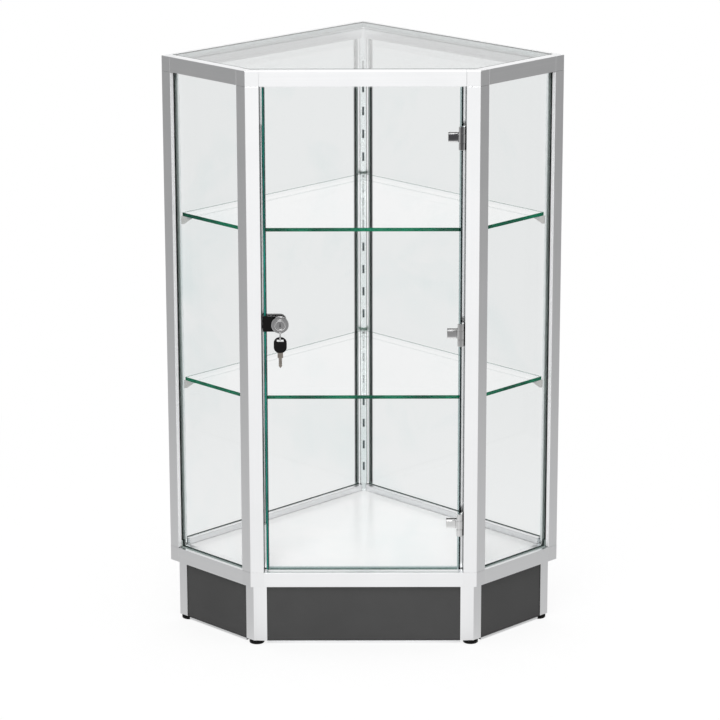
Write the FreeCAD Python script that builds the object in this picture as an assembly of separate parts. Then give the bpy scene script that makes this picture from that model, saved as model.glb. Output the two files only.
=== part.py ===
"""Corner showcase cabinet: a five-sided aluminium frame with glass walls, a glass top, a hinged
glass door with a key lock, two glass shelves on slotted standards and a kick base on levellers.
Millimetres, +Z up. The door faces -Y, the 90 degree back corner points to +Y, and the origin is on
the floor under the middle of the bounding box."""

import FreeCAD, Part
import math
import os

# --- cabinet outline ---
leg_length = 460.0          # each long back side, measured from the back corner
side_length = 197.0         # each short side between a long side and the door front
cabinet_height = 965.0      # floor to the top of the frame
kick_height = 97.7          # kick posts, from their lower end to the main frame
foot_pad_height = 6.0

# --- frame extrusions ---
rail_height = 25.0
rail_depth = 25.0           # front and side rails
back_rail_depth = 20.0
frame_wall = 1.8            # wall of every hollow extrusion
tenon_length = 20.0         # corner block tenons inside rails and posts
tenon_clearance = 0.15
front_post_face = 22.0      # front corner posts: width seen from the front
front_post_flank = 24.0     # and their depth beside the door
side_post_face = 20.0       # post width on the short sides
side_post_flank = 17.0      # front post depth beside a side pane
corner_post_back_face = 25.0
corner_post_flank = 16.5    # left and right posts, beside the side pane
corner_post_back_flank = 11.5
door_stop_width = 7.5       # lip on the front posts, behind the door edges
door_stop_thickness = 2.0
stop_screw_radius = 0.8     # two small screws in the lip on the lock side
stop_screw_head = 1.3
stop_screw_proud = 0.8
stop_screw_rise = 78.0      # from the deck to the lower one
stop_screw_drop = 67.0      # from the top of the opening to the upper one
back_post_face = 23.5
back_post_flank = 11.0
front_top_rim = 16.0        # top rails, outside the recess of the top glass
side_top_rim = 17.0
back_top_rim = 8.5
ledge_width = 7.0           # inner flange of the bottom rails, which carries the deck
ledge_thickness = 2.5

# --- glazing ---
pane_thickness = 5.0
side_pane_setback = 11.0    # outer frame face to the middle of a pane
back_pane_setback = 6.5
groove_width = 7.0
groove_depth = 8.0
pane_bite = 6.0             # how far a pane edge enters its groove
gasket_reveal = 1.2         # gasket seen beyond the groove
gasket_clearance = 0.2
bead_height = 10.0          # strip that holds the foot of each back pane from inside
bead_end_gap = 1.0
top_glass_thickness = 6.0
top_seal_width = 1.5        # soft strip between the top glass and the rails
deck_thickness = 16.0
deck_clearance = 0.5

# --- shelves and their supports ---
shelf_thickness = 6.0
lower_shelf_top = 425.0
slot_pitch = 40.0
shelf_pitches = 7           # slot pitches between the two shelves
shelf_front_setback = 28.0
shelf_side_setback = 20.0
shelf_back_setback = 22.0
shelf_corner_clearance = 2.0
slot_length = 15.0
slot_width = 3.5
standard_width = 10.0
standard_thickness = 1.8
channel_width = 5.0         # hollow behind the standard for the bracket hooks
channel_depth = 4.0
bracket_reach = 16.0
bracket_height = 13.0
bracket_tip_height = 4.5
bracket_thickness = 3.0
hook_height = 11.0
hook_reach = 2.6            # hook behind the standard
hook_drop = 2.5
bracket_pad_length = 7.0
bracket_pad_wall = 1.2
rest_gap = 0.3              # between pieces that only rest on each other

# --- kick base and levellers ---
kick_setback = 10.0
kick_post_front_face = 22.0
kick_post_side_face = 18.0
kick_post_back_face = 22.0
kick_post_flank = 20.0      # depth of the two front kick posts
kick_panel_recess = 1.5
kick_panel_thickness = 12.0
kick_trim_height = 3.5
kick_trim_depth = 15.0
foot_pad_radius = 12.5
foot_pad_round = 1.5
foot_setback = 11.0         # kick face to the middle of a foot
foot_stud_radius = 4.0
foot_stud_length = 32.0
foot_plug_height = 14.0
thread_clearance = 0.05

# --- door and hinges ---
door_thickness = 5.0
door_setback = 7.0          # frame front to the front of the door glass
door_lock_gap = 4.5
door_edge_gap = 3.0         # above and below the door
door_hinge_gap = 5.0
hinge_axis_inset = 7.0      # from the post flank to the pin
hinge_height = 38.0
hinge_knuckle_radius = 5.4
hinge_pin_radius = 2.0
hinge_leaf_thickness = 1.6
hinge_leaf_width = 16.0
hinge_leaf_setback = 1.5    # frame front to the leaf
clip_height = 14.4
clip_knuckle_gap = 0.3
clip_plate = 2.0
clip_pad_thickness = 0.8
clip_bite = 23.5            # clip plates over the glass
clip_edge_gap = 0.25
clip_screw_radius = 2.0
clip_screw_proud = 0.4
running_clearance = 0.05
press_clearance = 0.02
hinge_screw_radius = 1.6
hinge_screw_head = 3.0
hinge_screw_length = 7.0
hinge_screw_margin = 1.5    # leaf left beyond a screw head
screw_slot_width = 0.8
hinge_end_setback = 80.0    # top and bottom hinge middles from the door ends

# --- lock and key ---
lock_height = 552.0         # middle of the lock above the floor
lock_centre_inset = 26.0    # from the door edge to the middle of the cylinder
case_height = 25.4
case_front_plate = 4.0
case_back_depth = 9.0
case_edge_wall = 2.0
case_end_radius = 10.0
case_end_overrun = 9.5      # case beyond the middle of the cylinder
collar_radius = 14.0
collar_thickness = 2.5
collar_chamfer = 0.8
collar_standoff = 4.75      # collar back to the case front
barrel_radius = 9.5
glass_hole_clearance = 0.5
plug_radius = 6.0
plug_proud = 0.4
keyway_width = 1.6
keyway_length = 7.0
keyway_depth = 8.0
cam_pin_radius = 1.5
cam_turn = 90.0             # degrees from unlocked to locked
bolt_throw = 6.0
bolt_thickness = 4.0
bolt_height = 10.0
bolt_clearance = 0.2
bolt_slot_clearance = 0.35
bolt_end_wall = 2.0
strike_clearance = 1.5
ring_hole_radius = 1.6
ring_hole_edge = 1.0        # metal left outside the ring hole
ring_radius = 6.9           # to the middle of the wire
ring_wire_radius = 0.5
ring_turn_offset = 0.45     # each of the two turns from the middle
key_hang_gap = 0.6
key_head_width = 21.0
key_head_height = 26.0
key_head_thickness = 2.6
key_bar_height = 3.8
key_slot_width = 11.0
key_slot_height = 3.8
key_shoulder_width = 8.9
key_shoulder_length = 8.5
key_blade_width = 6.2
key_blade_length = 17.0
key_blade_thickness = 1.8
key_tooth_depth = 1.3
key_tooth_pitch = 3.2
key_tang_length = 10.0      # metal inside the head

root_two = math.sqrt(2.0)
cut_margin = 1.0            # how far a cutter passes the face that it opens
tiny = 1e-6

# --- places worked out from the sizes above ---
frame_bottom = foot_pad_height + rest_gap + kick_height
deck_top = frame_bottom + rail_height
opening_top = cabinet_height - rail_height
glass_seat = cabinet_height - top_glass_thickness
lower_shelf_bottom = lower_shelf_top - shelf_thickness
shelf_spacing = slot_pitch * shelf_pitches
door_width_span = root_two * (leg_length - side_length)
plan_depth = (leg_length + side_length) / root_two
collar_front = door_setback - case_front_plate - collar_standoff - collar_thickness
ring_front_reach = ring_radius + ring_wire_radius - (collar_front + collar_thickness / 2)
back_y = (plan_depth + ring_front_reach) / 2
front_y = back_y - plan_depth
half_front = door_width_span / 2
door_bottom = deck_top + door_edge_gap
door_top = opening_top - door_edge_gap
glass_front_y = front_y + door_setback
glass_back_y = glass_front_y + door_thickness
flank_x = half_front - front_post_face
hinge_x = flank_x - hinge_axis_inset
hinge_y = glass_front_y - clip_pad_thickness - hinge_knuckle_radius
door_left = -flank_x + door_lock_gap
door_right = flank_x - door_hinge_gap
door_stop_setback = door_setback + door_thickness + case_back_depth + rest_gap
lock_x = door_left + lock_centre_inset
hinge_heights = [
    door_bottom + hinge_end_setback,
    (door_bottom + door_top) / 2,
    door_top - hinge_end_setback,
]

# Sides in order round the cabinet, each from one corner to the next.
corners = {
    "front_left": (-half_front, front_y),
    "front_right": (half_front, front_y),
    "right": (leg_length / root_two, back_y - leg_length / root_two),
    "back": (0.0, back_y),
    "left": (-leg_length / root_two, back_y - leg_length / root_two),
}
sides = {
    "front": ("front_left", "front_right"),
    "right": ("front_right", "right"),
    "back_right": ("right", "back"),
    "back_left": ("back", "left"),
    "left": ("left", "front_left"),
}
pane_setbacks = {
    "left": side_pane_setback,
    "right": side_pane_setback,
    "back_left": back_pane_setback,
    "back_right": back_pane_setback,
}
bead_sides = ("back_left", "back_right")
rail_depths = {
    "front": rail_depth,
    "left": rail_depth,
    "right": rail_depth,
    "back_left": back_rail_depth,
    "back_right": back_rail_depth,
}
top_rims = {
    "front": front_top_rim,
    "left": side_top_rim,
    "right": side_top_rim,
    "back_left": back_top_rim,
    "back_right": back_top_rim,
}
post_faces = {
    "front_left": {"left": side_post_face, "front": front_post_face},
    "front_right": {"front": front_post_face, "right": side_post_face},
    "right": {"right": side_post_face, "back_right": corner_post_back_face},
    "back": {"back_right": back_post_face, "back_left": back_post_face},
    "left": {"back_left": corner_post_back_face, "left": side_post_face},
}
post_flanks = {
    "front_left": {"left": side_post_flank, "front": front_post_flank},
    "front_right": {"front": front_post_flank, "right": side_post_flank},
    "right": {"right": corner_post_flank, "back_right": corner_post_back_flank},
    "back": {"back_right": back_post_flank, "back_left": back_post_flank},
    "left": {"back_left": corner_post_back_flank, "left": corner_post_flank},
}
kick_flanks = {
    "front_left": {"left": kick_post_flank, "front": kick_post_flank},
    "front_right": {"front": kick_post_flank, "right": kick_post_flank},
    "right": {"right": kick_post_back_face, "back_right": kick_post_side_face},
    "back": {"back_right": kick_post_back_face, "back_left": kick_post_back_face},
    "left": {"back_left": kick_post_side_face, "left": kick_post_back_face},
}
kick_faces = {
    "front_left": {"left": kick_post_side_face, "front": kick_post_front_face},
    "front_right": {"front": kick_post_front_face, "right": kick_post_side_face},
    "right": {"right": kick_post_side_face, "back_right": kick_post_back_face},
    "back": {"back_right": kick_post_back_face, "back_left": kick_post_back_face},
    "left": {"back_left": kick_post_back_face, "left": kick_post_side_face},
}


# --- plan geometry ---
def add(a, b, times=1.0):
    return (a[0] + b[0] * times, a[1] + b[1] * times)


def dot(a, b):
    return a[0] * b[0] + a[1] * b[1]


def unit(a, b):
    length = math.hypot(b[0] - a[0], b[1] - a[1])
    return ((b[0] - a[0]) / length, (b[1] - a[1]) / length)


def inward(direction):
    return (-direction[1], direction[0])


def clip(points, normal, limit):
    """The part of a convex outline where normal . point <= limit."""
    kept = []
    for here, after in zip(points, points[1:] + points[:1]):
        a = dot(normal, here) - limit
        b = dot(normal, after) - limit
        if a <= 0:
            kept.append(here)
        if a * b < 0:
            kept.append(add(here, (after[0] - here[0], after[1] - here[1]), a / (a - b)))
    return kept


def shrink(points, gaps):
    """A convex outline, anticlockwise, with each edge moved inwards by its own gap."""
    reach = 2 * leg_length
    result = [(-reach, -reach), (reach, -reach), (reach, reach), (-reach, reach)]
    for a, b, gap in zip(points, points[1:] + points[:1], gaps):
        normal = inward(unit(a, b))
        result = clip(result, (-normal[0], -normal[1]), -dot(normal, a) - gap)
    return result


def side_frame(side, base=corners):
    """Start corner, direction, inward normal and length of a side."""
    start, end = (base[name] for name in sides[side])
    direction = unit(start, end)
    return start, direction, inward(direction), math.hypot(end[0] - start[0], end[1] - start[1])


def corner_sides(corner):
    """The side that ends at a corner and the side that starts there."""
    before = next(s for s, (_, end) in sides.items() if end == corner)
    after = next(s for s, (start, _) in sides.items() if start == corner)
    return before, after


def inner_corner(corner, setbacks):
    """Where a corner goes when each side moves inwards by its own setback."""
    before, after = corner_sides(corner)
    first = side_frame(before)[2]
    second = side_frame(after)[2]
    spread = first[0] * second[1] - first[1] * second[0]
    x = (setbacks[before] * second[1] - setbacks[after] * first[1]) / spread
    y = (setbacks[after] * first[0] - setbacks[before] * second[0]) / spread
    return add(corners[corner], (x, y))


def outline(setbacks):
    """The cabinet's outline with each side moved inwards by its setback."""
    return [inner_corner(corner, setbacks) for corner in corners]


def corner_outline(corner, faces, flanks, base=corners):
    """A post's five-cornered section: two outer faces, two flanks and the inner face."""
    before, after = corner_sides(corner)
    point = base[corner]
    _, back_direction, back_normal, _ = side_frame(before, base)
    _, direction, normal, _ = side_frame(after, base)
    face_end = add(point, direction, faces[after])
    face_start = add(point, back_direction, -faces[before])
    points = [
        point,
        face_end,
        add(face_end, normal, flanks[after]),
        add(face_start, back_normal, flanks[before]),
        face_start,
    ]
    return [p for i, p in enumerate(points) if math.dist(p, points[i - 1]) > tiny]


# --- solids ---
def prism(points, low, high):
    corners_3d = [FreeCAD.Vector(x, y, low) for x, y in points]
    face = Part.Face(Part.makePolygon(corners_3d + corners_3d[:1]))
    return face.extrude(FreeCAD.Vector(0, 0, high - low))


def box(low, high):
    size = [b - a for a, b in zip(low, high)]
    return Part.makeBox(*size, FreeCAD.Vector(*low))


def rod(radius, start, direction, length):
    return Part.makeCylinder(radius, length, FreeCAD.Vector(*start), FreeCAD.Vector(*direction))


def fuse(shapes):
    return shapes[0].multiFuse(shapes[1:]).removeSplitter() if len(shapes) > 1 else shapes[0]


def side_box(side, along, depth, height, base=corners):
    """A box in a side's own terms: along it from its start, inwards from its face, and up."""
    start, direction, normal, _ = side_frame(side, base)
    near = [add(start, normal, depth[0]), add(start, normal, depth[1])]
    points = [
        add(near[0], direction, along[0]),
        add(near[0], direction, along[1]),
        add(near[1], direction, along[1]),
        add(near[1], direction, along[0]),
    ]
    return prism(points, *height)


def side_span(side, faces=post_faces, base=corners):
    """Where the bay between a side's two posts starts and ends."""
    start, end = sides[side]
    return faces[start][side], side_frame(side, base)[3] - faces[end][side]


def post_outline(corner):
    return corner_outline(corner, post_faces[corner], post_flanks[corner])


def block_outline(corner):
    flanks = {s: max(d, rail_depths[s]) for s, d in post_flanks[corner].items()}
    return corner_outline(corner, post_faces[corner], flanks)


def post_core(corner, clearance=0.0):
    """The hollow of a post, clear of its grooves and of the channel behind the standard."""
    before, after = corner_sides(corner)
    behind_groove = {s: groove_depth if s in pane_setbacks else 0.0 for s in (before, after)}
    gaps = [0.0, behind_groove[after], channel_depth, behind_groove[before], 0.0]
    return shrink(post_outline(corner), [g + frame_wall + clearance for g in gaps])


def pane_depth(side, thickness):
    """Near and far depth of something that lies centred on a pane."""
    return pane_setbacks[side] - thickness / 2, pane_setbacks[side] + thickness / 2


def glazing_cutter(side):
    """The groove all round a pane, cut alike from rails, posts and corner blocks."""
    first, last = side_span(side)
    depth = pane_depth(side, groove_width)
    height = (deck_top - groove_depth, opening_top + groove_depth)
    return side_box(side, (first - groove_depth, last + groove_depth), depth, height)


def glazing_cutters(corner):
    return [glazing_cutter(side) for side in corner_sides(corner) if side in pane_setbacks]


def inner_face(corner):
    """Middle of a post's inner face, its outward direction and the direction along it."""
    points = post_outline(corner)
    first, last = points[2], points[3]
    tangent = unit(first, last)
    middle = ((first[0] + last[0]) / 2, (first[1] + last[1]) / 2)
    return middle, (tangent[1], -tangent[0]), tangent


def post_box(corner, across, out, height):
    """A box on a post's inner face: half its width either way, outwards, and up."""
    middle, facing, tangent = inner_face(corner)
    near, far = add(middle, facing, out[0]), add(middle, facing, out[1])
    points = [
        add(near, tangent, across),
        add(near, tangent, -across),
        add(far, tangent, -across),
        add(far, tangent, across),
    ]
    return prism(points, *height)


def strike_pocket():
    reach = bolt_throw - (door_lock_gap - case_edge_wall) + strike_clearance
    half = bolt_height / 2 + strike_clearance
    back = bolt_y() + bolt_thickness + strike_clearance
    return box(
        (-flank_x - reach, bolt_y() - strike_clearance, lock_height - half),
        (-flank_x + cut_margin, back, lock_height + half),
    )


def door_stop(corner):
    """Lip behind the door's edge, which the lock case closes against."""
    first, last = side_span("front")
    if corner == "front_left":
        along = (first, first + door_stop_width)
    else:
        along = (last - door_stop_width, last)
    depth = (door_stop_setback, door_stop_setback + door_stop_thickness)
    return side_box("front", along, depth, (deck_top, opening_top))


def stop_screw_places():
    """Middle of each lip screw, on the front of the lip and in the gap beside the door."""
    x = -flank_x + door_lock_gap / 2
    y = front_y + door_stop_setback
    return [(x, y, deck_top + stop_screw_rise), (x, y, opening_top - stop_screw_drop)]


def stop_screw(x, y, z):
    shank = rod(stop_screw_radius, (x, y, z), (0, 1, 0), door_stop_thickness)
    head = rod(stop_screw_head, (x, y - stop_screw_proud, z), (0, 1, 0), stop_screw_proud)
    return shank.fuse(head).removeSplitter()


def stop_screw_hole(x, y, z):
    radius = stop_screw_radius + press_clearance
    return rod(radius, (x, y - cut_margin, z), (0, 1, 0), door_stop_thickness + 2 * cut_margin)


def post(corner):
    body = prism(post_outline(corner), deck_top, opening_top)
    core = prism(post_core(corner), deck_top, opening_top)
    channel = post_box(corner, channel_width / 2, (-channel_depth, cut_margin), (deck_top, opening_top))
    cutters = glazing_cutters(corner) + [core, channel]
    if corner in sides["front"]:
        body = body.fuse(door_stop(corner)).removeSplitter()
    if corner == "front_left":
        cutters += [strike_pocket()] + [stop_screw_hole(*place) for place in stop_screw_places()]
    if corner == "front_right":
        cutters += [hinge_screw_hole(*place) for h in hinge_heights for place in hinge_screw_places(h)]
    return body.cut(cutters)


def rail_core_height(bottom, clearance=0.0):
    """Lower and upper end of a rail's hollow, which lies clear of the glazing groove."""
    gap = frame_wall + clearance
    if bottom:
        return frame_bottom + gap, deck_top - groove_depth - gap
    return opening_top + groove_depth + gap, glass_seat - gap


def top_recess(clearance=0.0):
    """What the top glass and its seal lie in, from side to side of the cabinet."""
    points = outline({side: rim + clearance for side, rim in top_rims.items()})
    return prism(points, glass_seat, cabinet_height)


def ledge(side):
    """Flange inside a bottom rail, mitred where it meets the next one."""
    high = deck_top - deck_thickness
    low = high - ledge_thickness
    inner = {name: depth + ledge_width for name, depth in rail_depths.items()}
    first, last = sides[side]
    points = [inner_corner(first, rail_depths), inner_corner(last, rail_depths)]
    points += [inner_corner(last, inner), inner_corner(first, inner)]
    depth = (rail_depths[side], inner[side])
    return prism(points, low, high).common(side_box(side, side_span(side), depth, (low, high)))


def rail(side, bottom):
    low, high = (frame_bottom, deck_top) if bottom else (opening_top, cabinet_height)
    span = side_span(side)
    depth = rail_depths[side]
    body = side_box(side, span, (0, depth), (low, high))
    core = side_box(side, span, (frame_wall, depth - frame_wall), rail_core_height(bottom))
    cutters = [core] + ([glazing_cutter(side)] if side in pane_setbacks else [])
    if bottom:
        body = body.fuse(ledge(side)).removeSplitter()
    else:
        rim_hollow = (frame_wall, top_rims[side] - frame_wall)
        height = (glass_seat - 2 * frame_wall, cabinet_height - frame_wall)
        cutters += [top_recess(), side_box(side, span, rim_hollow, height)]
    return body.cut(cutters)


def rail_tenon(corner, side, bottom):
    depth = rail_depths[side]
    gap = frame_wall + tenon_clearance
    first, last = side_span(side)
    starts_here = sides[side][0] == corner
    along = (first, first + tenon_length) if starts_here else (last - tenon_length, last)
    return side_box(side, along, (gap, depth - gap), rail_core_height(bottom, tenon_clearance))


def corner_block(corner, bottom):
    """Solid corner piece between the rails, with a tenon in each rail and post that it joins."""
    low, high = (frame_bottom, deck_top) if bottom else (opening_top, cabinet_height)
    body = prism(block_outline(corner), low, high)
    inlay = deck(clearance=0.0) if bottom else top_recess()
    body = body.cut([inlay] + glazing_cutters(corner))
    post_end = deck_top if bottom else opening_top - tenon_length
    tenons = [rail_tenon(corner, side, bottom) for side in corner_sides(corner)]
    tenons.append(prism(post_core(corner, tenon_clearance), post_end, post_end + tenon_length))
    if bottom:
        kick_tenon = kick_core(corner, tenon_clearance)
        tenons.append(prism(kick_tenon, frame_bottom - tenon_length, frame_bottom))
    return fuse([body] + tenons)


# --- glazing ---
def deck(clearance=deck_clearance):
    points = outline({side: depth + clearance for side, depth in rail_depths.items()})
    return prism(points, deck_top - deck_thickness, deck_top)


def top_glass():
    return top_recess(clearance=top_seal_width)


def top_glass_seal():
    return top_recess().cut(top_glass())


def pane(side):
    first, last = side_span(side)
    height = (deck_top - pane_bite, opening_top + pane_bite)
    along = (first - pane_bite, last + pane_bite)
    return side_box(side, along, pane_depth(side, pane_thickness), height)


def gasket(side):
    first, last = side_span(side)
    outer = side_box(
        side,
        (first - groove_depth + gasket_clearance, last + groove_depth - gasket_clearance),
        pane_depth(side, groove_width - 2 * gasket_clearance),
        (deck_top - groove_depth + gasket_clearance, opening_top + groove_depth - gasket_clearance),
    )
    daylight = side_box(
        side,
        (first + gasket_reveal, last - gasket_reveal),
        pane_depth(side, groove_width),
        (deck_top + gasket_reveal, opening_top - gasket_reveal),
    )
    channel = outer.cut([daylight, pane(side)])
    if side in bead_sides:
        lip_depth = (pane_depth(side, pane_thickness)[1], bead_depth(side)[0] - gasket_clearance)
        lip_height = (deck_top, deck_top + bead_height + gasket_reveal)
        channel = channel.fuse(side_box(side, (first, last), lip_depth, lip_height)).removeSplitter()
    return channel


def bead_depth(side):
    return pane_depth(side, groove_width)[1], rail_depths[side]


def bead(side):
    """Strip on the bottom rail, between the gasket's inner lip and the deck."""
    first, last = side_span(side)
    along = (first + bead_end_gap, last - bead_end_gap)
    return side_box(side, along, bead_depth(side), (deck_top, deck_top + bead_height))


# --- shelf supports ---
def bracket_top(level):
    return lower_shelf_bottom - rest_gap - bracket_pad_wall + level * shelf_spacing


def slot_bottoms():
    """Lower ends of the slots, in step with the brackets, over the free length of a post."""
    first = bracket_top(0) - (bracket_height + hook_height) / 2 - rest_gap
    lowest = math.ceil((deck_top + slot_length - first) / slot_pitch)
    highest = math.floor((opening_top - 2 * slot_length - first) / slot_pitch)
    return [first + i * slot_pitch for i in range(lowest, highest + 1)]


def standard(corner):
    strip = post_box(corner, standard_width / 2, (0, standard_thickness), (deck_top, opening_top))
    through = (-cut_margin, standard_thickness + cut_margin)
    slots = [post_box(corner, slot_width / 2, through, (z, z + slot_length)) for z in slot_bottoms()]
    return strip.cut(slots)


def bracket(corner, level):
    """Flat knife bracket: a tapering arm, and a hook through the standard."""
    middle, facing, tangent = inner_face(corner)
    top = bracket_top(level)
    hook_top = top - (bracket_height - hook_height) / 2
    hook_bottom = hook_top - hook_height
    behind = -standard_thickness - hook_reach
    slack = -standard_thickness - rest_gap
    profile = [
        (0, top),
        (bracket_reach, top),
        (bracket_reach, top - bracket_tip_height),
        (bracket_tip_height, top - bracket_height),
        (0, top - bracket_height),
        (0, hook_bottom),
        (slack, hook_bottom),
        (slack, hook_bottom - hook_drop),
        (behind, hook_bottom - hook_drop),
        (behind, hook_top),
        (0, hook_top),
    ]
    near = add(middle, tangent, -bracket_thickness / 2)
    points = [add(near, facing, standard_thickness + out) + (z,) for out, z in profile]
    vectors = [FreeCAD.Vector(*p) for p in points]
    face = Part.Face(Part.makePolygon(vectors + vectors[:1]))
    return face.extrude(FreeCAD.Vector(tangent[0], tangent[1], 0) * bracket_thickness)


def bracket_pad(corner, level):
    """Soft cap over the bracket's tip, on which the shelf rests."""
    top = bracket_top(level)
    tip = standard_thickness + bracket_reach
    cap = post_box(
        corner,
        bracket_thickness / 2 + bracket_pad_wall,
        (tip - bracket_pad_length, tip + bracket_pad_wall),
        (top - bracket_tip_height, top + bracket_pad_wall),
    )
    return cap.cut(bracket(corner, level))


def shelf(level):
    setbacks = {
        "front": shelf_front_setback,
        "left": shelf_side_setback,
        "right": shelf_side_setback,
        "back_left": shelf_back_setback,
        "back_right": shelf_back_setback,
    }
    points = outline(setbacks)
    for corner in corners:
        middle, facing, _ = inner_face(corner)
        stop = dot(facing, middle) + standard_thickness + shelf_corner_clearance
        points = clip(points, (-facing[0], -facing[1]), -stop)
    low = lower_shelf_bottom + level * shelf_spacing
    return prism(points, low, low + shelf_thickness)


# --- kick base ---
def kick_corners():
    return {corner: inner_corner(corner, dict.fromkeys(sides, kick_setback)) for corner in corners}


def kick_outline(corner):
    return corner_outline(corner, kick_faces[corner], kick_flanks[corner], kick_corners())


def kick_core(corner, clearance=0.0):
    points = kick_outline(corner)
    return shrink(points, [frame_wall + clearance] * len(points))


def kick_post(corner):
    low = foot_pad_height + rest_gap
    body = prism(kick_outline(corner), low, frame_bottom)
    return body.cut(prism(kick_core(corner), low, frame_bottom))


def kick_panel(side):
    span = side_span(side, kick_faces, kick_corners())
    depth = (kick_panel_recess, kick_panel_recess + kick_panel_thickness)
    low = foot_pad_height + rest_gap
    return side_box(side, span, depth, (low, frame_bottom), kick_corners())


def foot_centre(corner):
    return inner_corner(corner, dict.fromkeys(sides, kick_setback + foot_setback))


def kick_trim(side):
    """Strip under a kick panel, between the feet at its ends."""
    start, direction = side_frame(side, kick_corners())[:2]
    first, last = side_span(side, kick_faces, kick_corners())
    reach = foot_pad_radius + rest_gap
    after_foot = dot(direction, foot_centre(sides[side][0])) - dot(direction, start) + reach
    before_foot = dot(direction, foot_centre(sides[side][1])) - dot(direction, start) - reach
    span = (max(first, after_foot), min(last, before_foot))
    high = foot_pad_height + rest_gap
    return side_box(side, span, (0, kick_trim_depth), (high - kick_trim_height, high), kick_corners())


def foot_plug(corner):
    low = foot_pad_height + rest_gap
    plug = prism(kick_core(corner, tenon_clearance), low, low + foot_plug_height)
    hole = rod(
        foot_stud_radius + thread_clearance,
        foot_centre(corner) + (low - cut_margin,),
        (0, 0, 1),
        foot_plug_height + 2 * cut_margin,
    )
    return plug.cut(hole)


def leveller(corner):
    centre = foot_centre(corner)
    pad = rod(foot_pad_radius, centre + (0.0,), (0, 0, 1), foot_pad_height)
    pad = pad.makeFillet(foot_pad_round, [pad.Edges[0], pad.Edges[2]])
    stud = rod(foot_stud_radius, centre + (foot_pad_height / 2,), (0, 0, 1), foot_stud_length)
    return pad.fuse(stud).removeSplitter()


# --- door ---
def door_glass():
    glass = box((door_left, glass_front_y, door_bottom), (door_right, glass_back_y, door_top))
    hole = rod(
        barrel_radius + glass_hole_clearance,
        (lock_x, glass_front_y - cut_margin, lock_height),
        (0, 1, 0),
        door_thickness + 2 * cut_margin,
    )
    return glass.cut(hole)


def hinge_leaf(height):
    """Leaf on the post with its upper and lower knuckles."""
    low = height - hinge_height / 2
    face_x = flank_x - hinge_leaf_thickness
    leaf_y = front_y + hinge_leaf_setback
    leaf = box((face_x, leaf_y, low), (flank_x, leaf_y + hinge_leaf_width, low + hinge_height))
    knuckle = rod(hinge_knuckle_radius, (hinge_x, hinge_y, low), (0, 0, 1), hinge_height)
    web = box(
        (hinge_x, hinge_y, low),
        (face_x, hinge_y + hinge_knuckle_radius / 2, low + hinge_height),
    )
    half_gap = clip_height / 2 + clip_knuckle_gap
    reach = hinge_knuckle_radius + cut_margin
    middle = box(
        (hinge_x - reach, hinge_y - reach, height - half_gap),
        (face_x, hinge_y + reach, height + half_gap),
    )
    hole = rod(
        hinge_pin_radius + press_clearance,
        (hinge_x, hinge_y, low - cut_margin),
        (0, 0, 1),
        hinge_height + 2 * cut_margin,
    )
    screw_holes = [hinge_screw_hole(*place) for place in hinge_screw_places(height)]
    return fuse([leaf, knuckle, web]).cut([middle, hole] + screw_holes)


def hinge_screw_places(height):
    """Depth and height of a hinge's two screws."""
    edge = hinge_screw_head + hinge_screw_margin
    y = front_y + hinge_leaf_setback + hinge_leaf_width - edge
    offset = hinge_height / 2 - edge
    return [(y, height - offset), (y, height + offset)]


def hinge_screw_hole(y, z):
    start = (flank_x - hinge_leaf_thickness - cut_margin, y, z)
    length = hinge_screw_length + cut_margin
    return rod(hinge_screw_radius + press_clearance, start, (1, 0, 0), length)


def hinge_screw(y, z):
    face_x = flank_x - hinge_leaf_thickness
    head_x = face_x - hinge_screw_radius
    shank = rod(hinge_screw_radius, (face_x, y, z), (1, 0, 0), hinge_screw_length)
    head = rod(hinge_screw_head, (head_x, y, z), (1, 0, 0), hinge_screw_radius)
    slot = box(
        (head_x, y - hinge_screw_head, z - screw_slot_width / 2),
        (head_x + hinge_screw_radius / 2, y + hinge_screw_head, z + screw_slot_width / 2),
    )
    return shank.fuse(head).removeSplitter().cut(slot)


def hinge_pin(height):
    low = height - hinge_height / 2
    return rod(hinge_pin_radius, (hinge_x, hinge_y, low), (0, 0, 1), hinge_height)


def clip_gap():
    """Front and back of the space between a clip's plates."""
    return glass_front_y - clip_pad_thickness, glass_back_y + clip_pad_thickness


def hinge_clip(height):
    """U-shaped clip over the glass edge, with the middle knuckle of the hinge."""
    low = height - clip_height / 2
    front, back = clip_gap()
    left = door_right - clip_bite
    right = door_right + clip_edge_gap
    high = low + clip_height
    body = box((left, front - clip_plate, low), (right + clip_plate, back + clip_plate, high))
    slot = box((left - cut_margin, front, low - cut_margin), (right, back, high + cut_margin))
    knuckle = rod(hinge_knuckle_radius, (hinge_x, hinge_y, low), (0, 0, 1), clip_height)
    pin_hole = rod(
        hinge_pin_radius + running_clearance,
        (hinge_x, hinge_y, low - cut_margin),
        (0, 0, 1),
        clip_height + 2 * cut_margin,
    )
    screw_hole = rod(
        clip_screw_radius + press_clearance,
        (clip_screw_x(), front - clip_plate - cut_margin, height),
        (0, 1, 0),
        clip_plate + 2 * cut_margin,
    )
    return fuse([body, knuckle]).cut([slot, pin_hole, screw_hole])


def clip_screw_x():
    return door_right - clip_bite / 2


def clip_screw(height):
    front = clip_gap()[0]
    length = clip_plate + clip_screw_proud
    screw = rod(clip_screw_radius, (clip_screw_x(), front - length, height), (0, 1, 0), length)
    socket = rod(
        clip_screw_radius / 2,
        (clip_screw_x(), front - length - cut_margin, height),
        (0, 1, 0),
        cut_margin + clip_plate / 2,
    )
    return screw.cut(socket)


def clip_pad(height, behind):
    low = height - clip_height / 2
    front, back = clip_gap()
    near, far = (glass_back_y, back) if behind else (front, glass_front_y)
    return box((door_right - clip_bite, near, low), (door_right, far, low + clip_height))


# --- lock ---
def bolt_y():
    """Front face of the bolt."""
    return glass_back_y + case_back_depth / 2 - bolt_thickness / 2


def case_front():
    return glass_front_y - case_front_plate


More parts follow.
